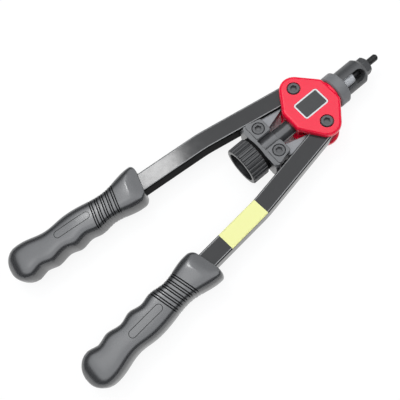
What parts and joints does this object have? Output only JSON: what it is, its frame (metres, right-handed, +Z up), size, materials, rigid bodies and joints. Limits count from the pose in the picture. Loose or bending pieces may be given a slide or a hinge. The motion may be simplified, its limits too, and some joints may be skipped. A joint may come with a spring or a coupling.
{
  "type": "rivet nut tool",
  "caption": "Two-handed lever tool with a red head, bowed black handles with moulded grips and a threaded mandrel that pulls blind rivet nuts tight.",
  "frame": {"origin": "centre of the nosepiece's front face, on the mandrel's axis", "axes": "+X out of the nose along the mandrel, +Y towards the left handle, +Z up through the screw heads"},
  "size_m": [0.3442, 0.1358, 0.034],
  "materials": {
    "red_paint": "glossy red enamel on a casting",
    "plate_black": "dark printed plate, left bare",
    "screw_steel": "black oxide",
    "collar_steel": "grey phosphate",
    "nose_steel": "black oxide",
    "crosshead_steel": "satin black",
    "sleeve_steel": "oiled black",
    "shaft_steel": "ground bright",
    "mandrel_steel": "black oxide",
    "knob_steel": "black oxide",
    "nut_steel": "zinc",
    "handle_paint": "glossy black paint",
    "grip_rubber": "satin grey moulding",
    "link_steel": "plain steel"
  },
  "bodies": {
    "head": {"head_casting": "red_paint", "name_plate": "plate_black", "pivot_bolts": "screw_steel", "nose_housing": "nose_steel", "nosepiece": "nose_steel"},
    "collar": {"lock_collar": "collar_steel"},
    "left_handle": {"left_handle_tube": "handle_paint", "left_grip": "grip_rubber", "left_pivot_bush": "nut_steel", "left_crank_pin": "nut_steel"},
    "right_handle": {"right_handle_tube": "handle_paint", "right_grip": "grip_rubber", "right_pivot_bush": "nut_steel", "right_crank_pin": "nut_steel"},
    "crosshead": {"crosshead": "crosshead_steel", "crosshead_bolts": "screw_steel", "pull_sleeve": "sleeve_steel"},
    "left_link": {"left_link": "link_steel"},
    "right_link": {"right_link": "link_steel"},
    "spindle": {"pull_shaft": "shaft_steel", "mandrel": "mandrel_steel", "knob": "knob_steel", "knob_nut": "nut_steel", "thrust_washer": "nut_steel", "retaining_ring": "nut_steel"}
  },
  "joints": [
    {"name": "left_handle_swing", "type": "hinge", "parent": "head", "child": "left_handle", "pos_m": [-0.063, 0.0195, 0], "axis": [0, 0, -1], "range_deg": [0, 40]},
    {"name": "right_handle_swing", "type": "hinge", "parent": "head", "child": "right_handle", "pos_m": [-0.063, -0.0195, 0], "axis": [0, 0, 1], "range_deg": [0, 40]},
    {"name": "crosshead_slide", "type": "slide", "parent": "head", "child": "crosshead", "axis": [1, 0, 0], "range_m": [0, 0.0066]},
    {"name": "left_link_swing", "type": "hinge", "parent": "crosshead", "child": "left_link", "pos_m": [-0.107, 0.0125, 0], "axis": [0, 0, 1], "range_deg": [0, 13.4]},
    {"name": "right_link_swing", "type": "hinge", "parent": "crosshead", "child": "right_link", "pos_m": [-0.107, -0.0125, 0], "axis": [0, 0, -1], "range_deg": [0, 13.4]},
    {"name": "spindle_spin", "type": "hinge", "parent": "crosshead", "child": "spindle", "pos_m": [-0.107, 0, 0], "axis": [1, 0, 0], "continuous": true},
    {"name": "collar_spin", "type": "hinge", "parent": "head", "child": "collar", "pos_m": [-0.0345, 0, 0], "axis": [1, 0, 0], "continuous": true}
  ],
  "couplings": [
    {"joint": "right_handle_swing", "follows": "left_handle_swing", "ratio": 1},
    {"joint": "crosshead_slide", "follows": "left_handle_swing", "m_per_rad": 0.00935},
    {"joint": "left_link_swing", "follows": "left_handle_swing", "ratio": 0.3314},
    {"joint": "right_link_swing", "follows": "left_handle_swing", "ratio": 0.3314}
  ]
}
